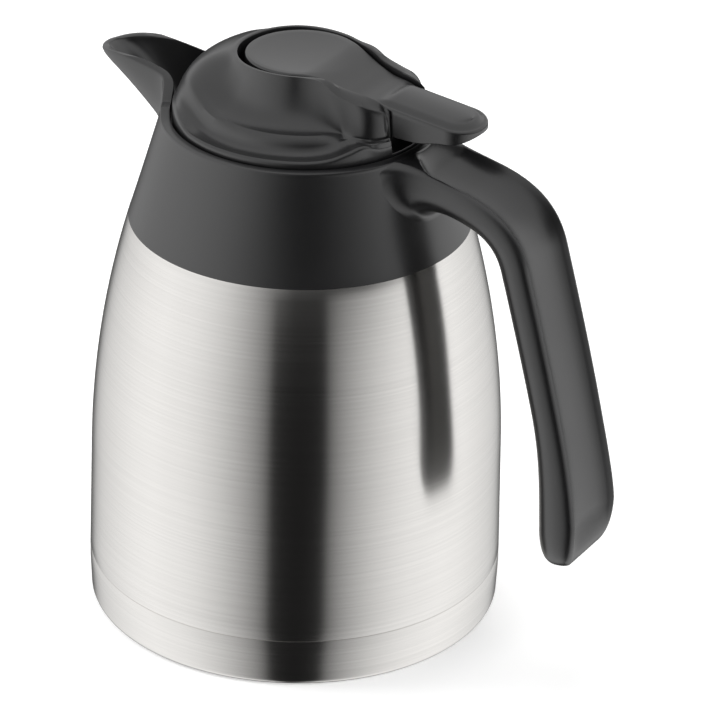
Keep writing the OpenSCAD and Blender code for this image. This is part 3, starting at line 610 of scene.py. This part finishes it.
root_rows = []
for k in range(ROOT_STEPS):
    root_rows.append(handle_ring(handle_outline(HANDLE_W, HANDLE_T),
                                 lambda v, d: root_point(v, d, k / ROOT_STEPS), root_way))
handle = skinned("handle_moulding", root_rows + stations)
shoulder = joined(collar, handle)
dress(shoulder, plastic, "flask", "shoulder")

# ---- Lid cover ----
# The black dome snapped over the stopper: full and round in front, scooped out at both sides for
# the fingers, with two lobes that carry the lever's pin. One skin round the axis, with a column
# of points for each direction that runs from the edge over the ridge into the lever's well.
DISC_R = 18.7
TAIL_HW = 10.3
TAIL_START = 36.0
NECK_ANGLE = math.radians(65)
COVER_R = 41.9
COVER_LOW = 171.65
BROW = (40.6, 179.0)
BROW_BULGE = 2.5
LEDGE_R = 32.0
LOBE_X = 39.5
LOBE_ROUND = 9.5
LOBE_DROP = 1.3
WELL_Z = 177.4
GATE_Z = 173.8
GATE_X = 33.0
SLOT_FROM = 40
SLOT_END = 41.4
BOSS_BORE = 6.0
STEM_BORE = 4.5
BORE_STEP_Z = 174.4


def settle(x, x0, y0, slope, x1, y1):
    """A cubic from a point with a given slope that levels out at the second point."""
    t = max(0.0, min(1.0, (x - x0) / (x1 - x0)))
    return (y0 * (2 * t ** 3 - 3 * t * t + 1) + slope * (x1 - x0) * (t ** 3 - 2 * t * t + t)
            + y1 * (3 * t * t - 2 * t ** 3))


def lever_half(x, grow=0.0):
    """Half width of the lever's plan at x, grown by a gap."""
    r = DISC_R + grow
    x0 = r * math.cos(NECK_ANGLE)
    if x < x0:
        return math.sqrt(max(0.0, r * r - x * x))
    if x < TAIL_START:
        return settle(x, x0, r * math.sin(NECK_ANGLE), -1 / math.tan(NECK_ANGLE),
                      TAIL_START, TAIL_HW + grow)
    return TAIL_HW + grow


def groove(x):
    """Gap round the lever: wider in front, where the disc dips, than beside the tail."""
    return lerp(2.3, 0.8, ease((x + 16) / 20))


def lobe_half(x):
    """Half width of the ridge round the well, which swells into the two lobes at the rear."""
    half = lever_half(x, groove(x) + lerp(1.1, 5.2, ease((x - 8) / 22)))
    start = LOBE_X - LOBE_ROUND
    return half if x < start else half * math.sqrt(max(0.0, 1 - ((x - start) / LOBE_ROUND) ** 2))


def way_out(half, a):
    """Radius at which a direction leaves a plan that is given by its half widths."""
    return halved(lambda r: r * math.sin(a) <= half(r * math.cos(a)), 5, 60)


# Heights of the ridge by its place along the lever; of the scoop's crest and shelf, and the
# shelf's radius, by their direction in degrees from the handle.
RIDGE_LINE = ((12, 195.2), (17, 194.9), (22, 192.9), (27.6, 191.7), (33.5, 190.5), (37, 188.9),
              (39.5, 187.2))
CREST_LINE = ((0, 176.4), (22, 176.8), (31, 178.9), (38, 177.6), (47, 175.8), (60, 175.2),
              (118, 175.2), (133, 177.0), (152, 179))
SHELF_LINE = ((0, 179.2), (30, 179.4), (50, 180), (95, 180), (112, 180.8), (130, 182.6), (150, 185))
SHELF_R = ((95, LEDGE_R), (150, 35))
SCOOP_LIP = ((1, -1.4), (0.99, -0.75), (0.955, -0.3), (0.9, 0), (0.81, -0.12))
SCOOP_BED = ((0.66, 0.12), (0.5, 0), (0.34, 0.3), (0.24, 1.0))
CLIMB_STEPS = 13
DOME_SPREAD = ([0.0, 0.02, 0.05, 0.09, 0.14, 0.19, 0.24, 0.29, 0.34]
               + [0.34 + 0.66 * i / CLIMB_STEPS for i in range(1, CLIMB_STEPS + 1)])


def scoop_side(flat, r_top, z_top):
    """The side's section at a direction: edge, finger scoop, shelf and the climb to the ridge."""
    crest_z, shelf_z = along(CREST_LINE, flat), along(SHELF_LINE, flat)
    shelf_r = along(SHELF_R, flat)
    if flat < 90:
        shelf_r = max(shelf_r, min(r_top + 2.2, 40.5))
    wide = COVER_R - shelf_r
    room = wide / (COVER_R - LEDGE_R)
    low = lerp(shelf_z - 0.8, crest_z - 0.6, room)
    edge_r, edge_z = shelf_r - 0.6, shelf_z - 0.15
    side = [(shelf_r + f * wide, crest_z + h) for f, h in SCOOP_LIP]
    side += [(shelf_r + f * wide, min(low + h, shelf_z)) for f, h in SCOOP_BED]
    side += [(shelf_r + 1.55 * room, lerp(shelf_z, low, 0.52)),
             (shelf_r + 0.75 * room, shelf_z - 1.2 * room), (edge_r, edge_z)]
    rear = ease((r_top - 29) / 9)
    for i in range(1, CLIMB_STEPS + 1):
        u = math.pi / 2 * (1 - i / CLIMB_STEPS)
        hollow = (lerp(r_top, edge_r, 1 - math.cos(u)), lerp(z_top, edge_z, math.sin(u) ** 0.94))
        full = (lerp(r_top, edge_r, math.sin(u)), lerp(z_top, edge_z, 1 - math.cos(u)))
        side.append((lerp(hollow[0], full[0], rear), lerp(hollow[1], full[1], rear)))
    return side


def dome_side(r_top, z_top):
    """The full front's section: the edge, then one swelling line to the ridge."""
    brow_r, brow_z = BROW
    side = [(COVER_R, brow_z - 3.2), (COVER_R - 0.1, brow_z - 1.6), (COVER_R - 0.5, brow_z - 0.7)]
    for u in DOME_SPREAD:
        bulge = BROW_BULGE * math.sin(math.pi * u ** 0.85)
        side.append((lerp(brow_r, r_top, u) + bulge, lerp(brow_z, z_top, u) + bulge))
    return side


def cover_column(degrees):
    """The cover's section in one direction: over the ridge, into the well and down the bores."""
    flat = abs(degrees)
    a = math.radians(max(0.5, min(179.5, flat)))
    r_in = way_out(lambda x: lever_half(x, groove(x)), a)
    in_slot = r_in > SLOT_FROM
    r_in = SLOT_END if in_slot else r_in
    r_top = max(way_out(lobe_half, a), r_in + 0.35)
    z_in = along(RIDGE_LINE, r_in * math.cos(a))
    lobe = ease((r_top * math.cos(a) - 14) / 12)
    z_top = min(along(RIDGE_LINE, r_top * math.cos(a)), z_in) - LOBE_DROP * lobe
    front = ease((flat - 116) / 42)
    wall = [(lerp(p[0], q[0], front), lerp(p[1], q[1], front))
            for p, q in zip(scoop_side(flat, r_top, z_top), dome_side(r_top, z_top))]
    top = [(lerp(r_top, r_in + 0.5, f), lerp(z_top, z_in, math.sin(math.pi / 2 * f)))
           for f in (0.3, 0.65, 1)]
    if in_slot:
        wall = [(lerp(COVER_R, SLOT_END + 0.05, i / (len(wall) - 1)),
                 GATE_Z - 0.25 * (1 - min(1, i / 4)) ** 2) for i in range(len(wall))]
        top = [(SLOT_END + 0.04, GATE_Z), (SLOT_END + 0.03, GATE_Z), (SLOT_END + 0.02, GATE_Z)]
        z_in = GATE_Z + 0.01
    ledge = GATE_Z if r_in * math.cos(a) > GATE_X else WELL_Z
    column = [(COVER_R - 0.3, COVER_LOW), (COVER_R, COVER_LOW + 0.3)] + wall + top
    column += [(r_in + 0.15, z_in - 0.12), (r_in, z_in - 0.5), (r_in, lerp(z_in, ledge, 0.5)),
               (r_in, ledge if in_slot else ledge + 0.3), (r_in - 0.3, ledge)]
    if ledge == GATE_Z:
        step = GATE_X / math.cos(a)
        column += [(step + 0.3, GATE_Z), (step, GATE_Z + 0.3), (step, WELL_Z - 0.25),
                   (step - 0.25, WELL_Z)]
        last = step - 0.25
    else:
        column += [(r_in - 0.35 - 0.05 * i, WELL_Z) for i in range(4)]
        last = r_in - 0.5
    column += [(lerp(last, STEM_BORE + 0.4, 0.5), WELL_Z), (STEM_BORE + 0.4, WELL_Z),
               (STEM_BORE, WELL_Z - 0.4), (STEM_BORE, BORE_STEP_Z),
               (BOSS_BORE, BORE_STEP_Z - 0.1), (BOSS_BORE, COVER_LOW)]
    return column


cover_ways = ([-180 + 2.5 * i for i in range(54)] + [-45 + 0.6 * i for i in range(151)]
              + [47.5 + 2.5 * i for i in range(53)])
cover_columns = []
for degrees in cover_ways:
    a = math.radians(degrees)
    cover_columns.append([(r * math.cos(a), r * math.sin(a), z) for r, z in cover_column(degrees)])
rows = [[column[k] for column in cover_columns] for k in range(len(cover_columns[0]))]
lid_cover = skinned("lid_cover_moulding", rows + rows[:1])
dress(lid_cover, plastic, "lid", "lid_cover")

# ---- Lever ----
# The thumb lever, one black moulding: a flat disc over the valve, a neck between the lobes and a
# tail whose raised, crowned pad lies within a thin rim. Two ears below the disc hold the cross pin.
DISC_Z = 195.2
DISC_T = 3.8
DISH_R = 16.5
DISH_DEEP = 0.55
TAIL_X = 66.5
TAIL_Z = 185.7
TAIL_CENTRE = TAIL_X - TAIL_HW * 0.85
SKIRT_Z = 180.8
PAD_INSET = 4.2
PAD_SUNK = 0.6
PAD_RISE = 1.3
PAD_FULL = 1.1
PAD_CROWN = 0.45


def lever_top(x):
    """Height of the lever's top: it falls by half in the neck and by half along the tail."""
    drop = (DISC_Z - TAIL_Z) * 0.5
    tail_drop = (DISC_Z - TAIL_Z - drop) * max(0, (x - 24) / (TAIL_X - 24))
    return DISC_Z - drop * ease((x - 9) / 20) - tail_drop


def lever_low(x):
    """Height of the lever's lower edge, which ends in a short upturn at the tail's tip."""
    upturn = TAIL_X - 8
    if x >= upturn:
        return SKIRT_Z + 2.4 * ((x - upturn) / 8) ** 2
    skirt = lerp(DISC_Z - DISC_T, SKIRT_Z, ease((x - 12) / 12))
    return skirt - 2 * ease((x - 33) / 7) * ease((upturn - x) / 12)


def lever_edge(x, inset):
    """Half width of the lever's plan with its rounded tip, moved inwards by an inset."""
    if x < TAIL_CENTRE:
        return lever_half(x, -inset)
    along_tip = (x - TAIL_CENTRE) / (TAIL_X - inset - TAIL_CENTRE)
    return (TAIL_HW - inset) * math.sqrt(max(0.0, 1 - along_tip ** 2))


def lever_plan(inset, squeeze):
    """The lever's outline in plan, moved inwards, then squeezed towards its middle line."""
    end = TAIL_X - inset - 0.02 - TAIL_CENTRE
    side = [-(DISC_R - inset - 0.01) * math.cos(math.radians(90 * i / 30)) for i in range(30)]
    side += [TAIL_CENTRE * i / 66 for i in range(66)]
    side += [TAIL_CENTRE + end * math.sin(math.radians(90 * i / 24)) for i in range(25)]
    half = [(x, lever_edge(x, inset) * squeeze) for x in side]
    return half + [(x, -y) for x, y in reversed(half[1:-1])]


def lever_layer(inset, height, squeeze=1.0):
    """One ring of the lever's skin, at a height that is given for each place in plan."""
    return [(x, y, height(x, y)) for x, y in lever_plan(inset, squeeze)]


def dished(x, y):
    """The disc's top is pressed in a little for the thumb."""
    return -DISH_DEEP * max(0.0, 1 - (x * x + y * y) / DISH_R ** 2)


def pad_share(x):
    """Where the tail's pad lies."""
    return ease((x - 32.5) / 4.5)


def hollow_share(x):
    """Where the tail is hollow below."""
    return ease((x - 31) / 2) * ease((TAIL_X - TAIL_HW - 1 - x) / 2)


def underside(x):
    """The lower edge, kept a wall's thickness below the top."""
    return min(lever_low(x), lever_top(x) - 2.2)


def rim_top(x):
    """The thin rim round the pad lies a little below the line of the lever's top."""
    return lever_top(x) - PAD_SUNK * pad_share(x)


def pad_top(x, y, rise):
    """The top inside the rim: the raised pad on the tail, and the dished disc."""
    return lever_top(x) + (rise - PAD_SUNK) * pad_share(x) + dished(x, y)


# From the middle of the underside outwards, up the edge, over the rim and in over the pad.
lever_rows = []
for inset, squeeze, sunk in ((2.2, 0, 1), (2.2, 0.5, 1), (2.6, 1, 1), (2.2, 1, 0.9), (2.1, 1, 0)):
    lever_rows.append(lever_layer(
        inset, lambda x, y: lerp(underside(x), lever_top(x) - 2.6, hollow_share(x) * sunk),
        squeeze))
lever_rows.append(lever_layer(0.3, lambda x, y: underside(x)))
lever_rows.append(lever_layer(0, lambda x, y: underside(x) + 0.3))
for share in (0.35, 0.65, 0.82):
    lever_rows.append(lever_layer(0, lambda x, y: lerp(underside(x), rim_top(x), share)))
for inset, drop in ((0, 0.75), (0.1, 0.38), (0.32, 0.12), (0.65, 0), (1.0, 0)):
    lever_rows.append(lever_layer(inset, lambda x, y: rim_top(x) - drop))
for inset, share in ((1.25, 0.02), (1.7, 0.22), (2.3, 0.6), (2.9, 0.9), (3.4, 1.02),
                     (PAD_INSET, PAD_FULL)):
    lever_rows.append(lever_layer(inset, lambda x, y: pad_top(x, y, PAD_RISE * share)))
for squeeze in (0.8, 0.6, 0.4, 0.2, 0):
    crown = PAD_RISE * PAD_FULL + PAD_CROWN * (1 - squeeze ** 2)
    lever_rows.append(lever_layer(PAD_INSET, lambda x, y: pad_top(x, y, crown), squeeze))
slab = skinned("lever_moulding", lever_rows)

# The ears hang under the disc, cut off flat above, each with a slot for the cross pin.
CROSS_PIN_Z = 187.0
CROSS_PIN_R = 1.2
EAR_IN = 3.2
EAR_T = 2.0
EAR_R = CROSS_PIN_R + 2
EAR_TOP = DISC_Z - DISC_T + 0.3 - CROSS_PIN_Z
SLOT_R = CROSS_PIN_R + 0.1
SLOT_LONG = 0.8
ears = []
for side in (-1, 1):
    outer, slot = [], []
    for i in range(48):
        t = 2 * math.pi * i / 48
        c, s = math.cos(t), math.sin(t)
        reach = min(EAR_R / max(abs(c), 1e-6), EAR_TOP / s) if s > 0 else EAR_R
        outer.append((reach * c, CROSS_PIN_Z + reach * s))
        slot.append((SLOT_R * c + SLOT_LONG * max(-1, min(1, 2.2 * c)), CROSS_PIN_Z + SLOT_R * s))
    y0, y1 = side * EAR_IN, side * (EAR_IN + EAR_T)
    loops = [[(x, y, z) for x, z in line]
             for line, y in ((outer, y0), (outer, y1), (slot, y1), (slot, y0))]
    ears.append(skinned("lever_ear_%d" % (side + 1), loops + loops[:1]))
lever = joined(slab, *ears)
dress(lever, plastic, "lever", "lever")

# ---- Pieces kept from the frame ----
# The pieces inside keep their solids: stopper, throat ring and valve head moulded in black
# polypropylene, silicone seals, drawn or wound steel, the steel liner, its foil and the getter.

# Silicone rubber pressed in a smooth mould: greyish white, slightly see-through at its edges, with
# a soft sheen and a little dust.
silicone, tree, out = new_material("grey_white_silicone_rubber")
place = add(tree, "TexCoord").outputs["Object"]
dust = add(tree, "TexNoise", {"Vector": place, "Scale": 300, "Detail": 3})
tone = add(tree, "Mix", {"Factor": dust.outputs[0], 6: linear("#d8d6d0"), 7: linear("#e6e4de")},
           data_type="RGBA")
skin_bump = add(tree, "Bump", {"Strength": 0.2, "Distance": 0.00003, "Height": dust.outputs[0]})
shader = add(tree, "BsdfPrincipled", {
    "Base Color": tone.outputs[2], "Roughness": 0.5, "IOR": 1.41, "Subsurface Weight": 0.15,
    "Subsurface Radius": (0.002, 0.002, 0.002), "Normal": skin_bump.outputs[0]})
tree.links.new(shader.outputs[0], out.inputs[0])

# Spring and pin steel, drawn through dies: short lines and a brighter, rounder gloss.
drawn, tree, out = new_material("drawn_steel_wire")
place = add(tree, "TexCoord").outputs["Object"]
lines = add(tree, "TexNoise", {"Vector": place, "Scale": 900, "Detail": 2})
tone = add(tree, "Mix", {"Factor": lines.outputs[0], 6: linear("#b4b5b7"), 7: linear("#c9cacc")},
           data_type="RGBA")
rough = add(tree, "MapRange", {"Value": lines.outputs[0], "From Min": 0.3, "From Max": 0.7,
                               "To Min": 0.2, "To Max": 0.32})
shader = add(tree, "BsdfPrincipled", {"Base Color": tone.outputs[2], "Metallic": 1,
                                      "Roughness": rough.outputs[0]})
tree.links.new(shader.outputs[0], out.inputs[0])

# Aluminium foil, wrinkled as it was wrapped by hand.
foil, tree, out = new_material("aluminium_foil")
place = add(tree, "TexCoord").outputs["Object"]
creases = add(tree, "TexVoronoi", {"Vector": place, "Scale": 130})
wrinkles = add(tree, "Bump", {"Strength": 0.5, "Distance": 0.0003, "Height": creases.outputs[0]})
tone = add(tree, "Mix", {"Factor": creases.outputs[0], 6: linear("#d9dadb"), 7: linear("#e4e5e6")},
           data_type="RGBA")
shader = add(tree, "BsdfPrincipled", {
    "Base Color": tone.outputs[2], "Metallic": 1, "Roughness": 0.25,
    "Normal": wrinkles.outputs[0]})
tree.links.new(shader.outputs[0], out.inputs[0])

# Barium getter, pressed from powder and fired: dull, dark and grainy.
pressed, tree, out = new_material("fired_getter_powder")
place = add(tree, "TexCoord").outputs["Object"]
grains = add(tree, "TexNoise", {"Vector": place, "Scale": 1500, "Detail": 3})
tone = add(tree, "Mix", {"Factor": grains.outputs[0], 6: linear("#3e3c3a"), 7: linear("#63605c")},
           data_type="RGBA")
lumps = add(tree, "Bump", {"Strength": 0.6, "Distance": 0.0001, "Height": grains.outputs[0]})
shader = add(tree, "BsdfPrincipled", {"Base Color": tone.outputs[2], "Roughness": 0.85,
                                      "Normal": lumps.outputs[0]})
tree.links.new(shader.outputs[0], out.inputs[0])

KEPT = {plastic: ("stopper", "throat_ring", "valve_head"),
        silicone: ("neck_gasket", "stopper_seal", "valve_washer", "stem_seal"),
        drawn: ("lever_pin", "cross_pin", "valve_stem", "valve_spring"),
        steel: ("inner_liner", "seal_cap"),
        foil: ("radiation_foil",),
        pressed: ("getter",)}
for finish, names in KEPT.items():
    for name in names:
        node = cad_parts[name]
        node.data.materials.clear()
        node.data.materials.append(finish)

# ---- Stage ----
# A pale floor in a white surround, two soft lamps and a light from above. The gloss sees a studio
# instead: pale screens all round but for a dark gap in front and one behind, and a grey ceiling.
FLOOR_SIZE = 8
bpy.ops.object.select_all(action="DESELECT")
bpy.ops.mesh.primitive_plane_add(size=FLOOR_SIZE, location=(0, 0, 0))
floor = bpy.context.object
floor.name = "floor"
floor_material, tree, out = new_material("pale_floor")
ray = add(tree, "LightPath")
seen = add(tree, "Math", {0: ray.outputs["Is Camera Ray"], 1: ray.outputs["Is Transmission Ray"]},
           operation="MAXIMUM")
lit = add(tree, "BsdfDiffuse", {"Color": linear("#f4f4f4")})
glow = add(tree, "Emission", {"Color": (1, 1, 1, 1), "Strength": 0.35})
floor_mix = add(tree, "AddShader", {0: lit.outputs[0], 1: glow.outputs[0]})
only = add(tree, "MixShader", {0: seen.outputs[0], 1: lit.outputs[0], 2: floor_mix.outputs[0]})
tree.links.new(only.outputs[0], out.inputs[0])
floor.data.materials.append(floor_material)
floor.visible_glossy = False

# The screens as (degrees from the middle of the dark gap, strength): one ring at and below eye
# level, and one above it, whose dark gap is wider and stands further round to the handle.
LOW_FRONT = math.radians(-57.8)
LOW_SCREENS = ((0, 0.008), (14.5, 0.012), (17.5, 0.17), (25, 0.36), (35, 0.56), (45, 0.74),
               (56, 0.9), (66, 1.0), (87, 1.1), (102, 1.06), (120, 0.93), (138, 0.78), (150, 0.59),
               (160, 0.2), (165, 0.06), (180, 0.05))
HIGH_FRONT = math.radians(-38)
HIGH_SCREENS = ((0, 0.04), (24, 0.06), (38, 0.22), (52, 0.5), (68, 0.8), (90, 1.0), (180, 1.0))
CEILING = (0.55, 0.55, 0.55, 1)
GLOSS_LEVEL = 1.2
PLAIN_LEVEL = 0.45
WHITE_LEVEL = 1.0
world = bpy.data.worlds.new("studio")
bpy.context.scene.world = world
world.use_nodes = True
tree = world.node_tree
tree.nodes.clear()
ray = add(tree, "LightPath")
way = add(tree, "TexCoord").outputs["Generated"]
level = add(tree, "VectorMath", {0: way, 1: (1, 1, 0)}, operation="MULTIPLY")
level = add(tree, "VectorMath", {0: level.outputs[0]}, operation="NORMALIZE")


def ring_of_screens(front, screens):
    """How far a level direction faces the dark gap, and the tone that it meets."""
    ahead = (math.cos(front), math.sin(front), 0)
    facing = add(tree, "VectorMath", {0: level.outputs[0], 1: ahead},
                 operation="DOT_PRODUCT").outputs["Value"]
    angle = add(tree, "Math", {0: facing}, operation="ARCCOSINE")
    share = add(tree, "Math", {0: angle.outputs[0], 1: math.pi}, operation="DIVIDE")
    ramp = add(tree, "ValToRGB", {"Fac": share.outputs[0]})
    stops = ramp.color_ramp.elements
    for i, (degrees, strength) in enumerate(screens):
        stop = stops[i] if i < 2 else stops.new(degrees / 180)
        stop.position = degrees / 180
        stop.color = (strength / GLOSS_LEVEL,) * 3 + (1,)
    return facing, ramp.outputs[0]


low_facing, low_tone = ring_of_screens(LOW_FRONT, LOW_SCREENS)
high_tone = ring_of_screens(HIGH_FRONT, HIGH_SCREENS)[1]
height = add(tree, "SeparateXYZ", {0: way}).outputs[2]
above = add(tree, "MapRange", {"Value": height, "From Min": -0.02, "From Max": 0.2},
            interpolation_type="SMOOTHSTEP")
ring_tone = add(tree, "Mix", {"Factor": above.outputs[0], 6: low_tone, 7: high_tone},
                data_type="RGBA")
lifted = add(tree, "Math", {0: low_facing, 1: -0.22, 2: height}, operation="MULTIPLY_ADD")
overhead = add(tree, "MapRange", {"Value": lifted.outputs[0], "From Min": 0.25, "From Max": 0.75},
               interpolation_type="SMOOTHSTEP")
gloss_tone = add(tree, "Mix", {"Factor": overhead.outputs[0], 6: ring_tone.outputs[2], 7: CEILING},
                 data_type="RGBA")
plain = add(tree, "Background", {"Color": (1, 1, 1, 1), "Strength": PLAIN_LEVEL})
gloss = add(tree, "Background", {"Color": gloss_tone.outputs[2], "Strength": GLOSS_LEVEL})
white = add(tree, "Background", {"Color": (1, 1, 1, 1), "Strength": WHITE_LEVEL})
seen = add(tree, "Math", {0: ray.outputs["Is Camera Ray"], 1: ray.outputs["Is Transmission Ray"]},
           operation="MAXIMUM")
mix = add(tree, "MixShader", {0: ray.outputs["Is Glossy Ray"], 1: plain.outputs[0],
                              2: gloss.outputs[0]})
mix = add(tree, "MixShader", {0: seen.outputs[0], 1: mix.outputs[0], 2: white.outputs[0]})
add(tree, "OutputWorld", {0: mix.outputs[0]})


def soft_lamp(name, at, size, watts):
    """A square soft box that points at the middle of the carafe."""
    data = bpy.data.lights.new(name, "AREA")
    data.size = size
    data.energy = watts
    lamp = bpy.data.objects.new(name, data)
    bpy.context.scene.collection.objects.link(lamp)
    lamp.location = at
    lamp.rotation_euler = (Vector((0, 0, 0.1)) - Vector(at)).to_track_quat("-Z", "Y").to_euler()
    lamp.visible_glossy = False


soft_lamp("lamp_left", (-1.3, -0.5, 1.0), 0.9, 14)
soft_lamp("lamp_right", (1.2, -0.1, 1.3), 0.8, 9)
soft_lamp("lamp_top", (-0.2, 0.3, 1.8), 0.8, 8)

bpy.context.scene.view_settings.view_transform = "Standard"
